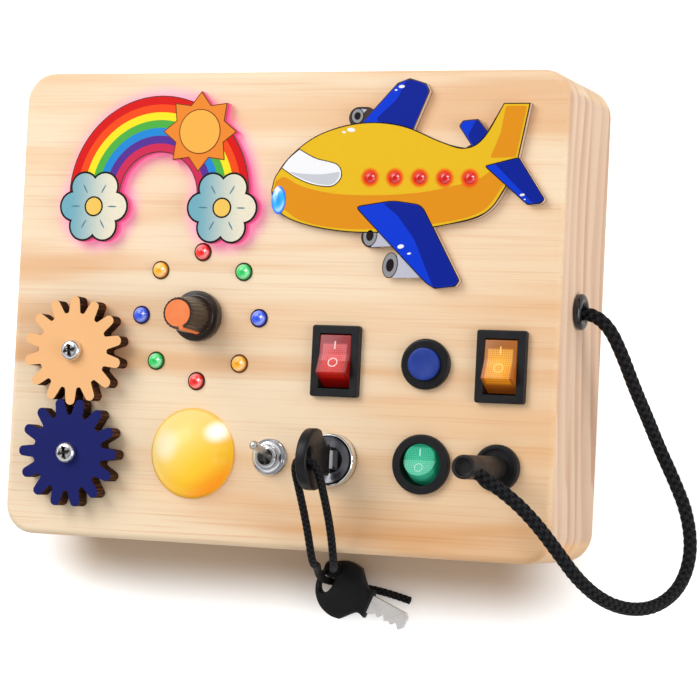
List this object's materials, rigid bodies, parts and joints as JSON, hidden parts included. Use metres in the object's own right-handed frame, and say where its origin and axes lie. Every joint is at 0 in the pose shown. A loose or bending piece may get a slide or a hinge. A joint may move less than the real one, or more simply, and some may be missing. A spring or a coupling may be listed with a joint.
{
  "type": "wooden busy board",
  "caption": "Hollow pine board with switches, lamps, a knob, meshing gears, a key lock and a plug on a cord, for small hands to turn, press and flip.",
  "frame": {"origin": "centre of the board's underside, which is the rim of its back, level with the surface that it lies on", "axes": "+X along the board's width towards the plug's side, +Y up the face from the keys towards the aeroplane, +Z out of the face"},
  "size_m": [0.2084, 0.1656, 0.0726],
  "materials": {
    "pine": "clear satin lacquer over planed pine",
    "plywood": "sanded plywood",
    "screw_steel": "bright zinc",
    "chrome_trim": "polished plate",
    "black_plastic": "moulded, half gloss",
    "tray_plastic": "moulded, matt",
    "cell_jacket": "shrink-wrapped jacket",
    "contact_spring": "nickel plate",
    "circuit_board": "solder mask",
    "brass_fittings": "plain turned brass",
    "red_lamp": "clear tinted resin",
    "yellow_lamp": "clear tinted resin",
    "green_lamp": "clear tinted resin",
    "blue_lamp": "clear tinted resin",
    "white_lamp": "clear resin",
    "rainbow_print": "printed and varnished plywood in coloured bands",
    "pink_glow": "frosted acrylic, lit from below",
    "aeroplane_print": "printed and varnished plywood, dark laser-cut edge",
    "nose_blue": "clear tinted acrylic",
    "dome_yellow": "translucent, lit from inside",
    "gear_orange": "painted plywood, dark laser-cut edge",
    "gear_navy": "painted plywood, dark laser-cut edge",
    "pointer_orange": "moulded, satin",
    "knob_black": "fluted, satin",
    "shaft_aluminium": "turned",
    "red_rocker": "clear tinted, lit",
    "amber_rocker": "clear tinted, lit",
    "green_rocker": "clear tinted, lit",
    "blue_cap": "moulded, satin",
    "lock_chrome": "polished, lightly scratched",
    "key_plastic": "fine grained moulding",
    "key_steel": "nickel plate",
    "braid": "black braided cord",
    "rubber_black": "moulded, matt"
  },
  "bodies": {
    "case": {"wooden_case": "pine", "back_cover": "plywood", "back_screws": "screw_steel", "battery_tray": "tray_plastic", "battery_door": "tray_plastic", "battery_cells": "cell_jacket", "battery_contacts": "contact_spring", "control_board": "circuit_board", "board_standoffs": "brass_fittings", "board_screws": "screw_steel", "ring_circuit_board": "circuit_board", "dome_lamp_board": "circuit_board", "red_ring_leds": "red_lamp", "green_ring_leds": "green_lamp", "blue_ring_leds": "blue_lamp", "yellow_ring_leds": "yellow_lamp", "led_bezels": "black_plastic", "aeroplane_leds": "red_lamp", "backlight_leds": "white_lamp", "nose_lens": "nose_blue", "rainbow_plate": "rainbow_print", "rainbow_glow_base": "pink_glow", "aeroplane_plate": "aeroplane_print", "dome_lens": "dome_yellow", "potentiometer": "screw_steel", "gear_spacers": "tray_plastic", "gear_screws": "chrome_trim", "panel_nuts": "screw_steel", "red_switch_frame": "black_plastic", "amber_switch_frame": "black_plastic", "green_switch_frame": "black_plastic", "switch_terminals": "brass_fittings", "button_housing": "black_plastic", "button_spring": "contact_spring", "toggle_switch": "chrome_trim", "toggle_nut": "chrome_trim", "lock_body": "lock_chrome", "spare_key_blade": "key_steel", "spare_key_bow": "key_plastic", "key_cord": "braid", "key_cord_knot": "braid", "jack_socket": "black_plastic", "side_grommet": "rubber_black", "plug_cord": "braid", "cord_stop_knot": "braid"},
    "knob": {"pot_shaft": "shaft_aluminium", "knob": "knob_black", "knob_cap": "pointer_orange"},
    "upper_gear": {"upper_gear": "gear_orange"},
    "lower_gear": {"lower_gear": "gear_navy"},
    "red_rocker": {"red_rocker": "red_rocker"},
    "amber_rocker": {"amber_rocker": "amber_rocker"},
    "green_rocker": {"green_rocker": "green_rocker"},
    "button": {"blue_button": "blue_cap"},
    "toggle": {"toggle_lever": "chrome_trim"},
    "lock_key": {"lock_rotor": "lock_chrome", "lock_key_blade": "key_steel", "lock_key_bow": "key_plastic"},
    "plug": {"plug_barrel": "shaft_aluminium", "plug_handle": "black_plastic"}
  },
  "joints": [
    {"name": "knob_turn", "type": "hinge", "parent": "case", "child": "knob", "pos_m": [-0.025, -0.003, 0.052], "axis": [0, 0, 1], "range_deg": [0, 300]},
    {"name": "upper_gear_spin", "type": "hinge", "parent": "case", "child": "upper_gear", "pos_m": [-0.064, -0.0147, 0.0456], "axis": [0, 0, 1], "continuous": true},
    {"name": "lower_gear_spin", "type": "hinge", "parent": "case", "child": "lower_gear", "pos_m": [-0.064, -0.0457, 0.0456], "axis": [0, 0, 1], "continuous": true},
    {"name": "red_rocker_tip", "type": "hinge", "parent": "case", "child": "red_rocker", "pos_m": [0.02, -0.015, 0.0377], "axis": [1, 0, 0], "range_deg": [0, 30]},
    {"name": "amber_rocker_tip", "type": "hinge", "parent": "case", "child": "amber_rocker", "pos_m": [0.071, -0.015, 0.0377], "axis": [1, 0, 0], "range_deg": [0, 30]},
    {"name": "green_rocker_tip", "type": "hinge", "parent": "case", "child": "green_rocker", "pos_m": [0.048, -0.044, 0.0384], "axis": [1, 0, 0], "range_deg": [0, 24]},
    {"name": "button_press", "type": "slide", "parent": "case", "child": "button", "axis": [0, 0, -1], "range_m": [0, 0.002], "stiffness_N_per_m": 400, "springref_m": -0.003, "deforming": ["button_spring"]},
    {"name": "toggle_flip", "type": "hinge", "parent": "case", "child": "toggle", "pos_m": [0, -0.044, 0.04], "axis": [1, 0, 0], "range_deg": [0, 26]},
    {"name": "key_turn", "type": "hinge", "parent": "case", "child": "lock_key", "pos_m": [0.02, -0.044, 0.044], "axis": [0, 0, -1], "range_deg": [0, 90], "deforming": ["key_cord"]},
    {"name": "plug_pull", "type": "slide", "parent": "case", "child": "plug", "axis": [0, 0, 1], "range_m": [0, 0.012], "deforming": ["plug_cord"]}
  ],
  "couplings": [
    {"joint": "lower_gear_spin", "follows": "upper_gear_spin", "ratio": -1}
  ]
}
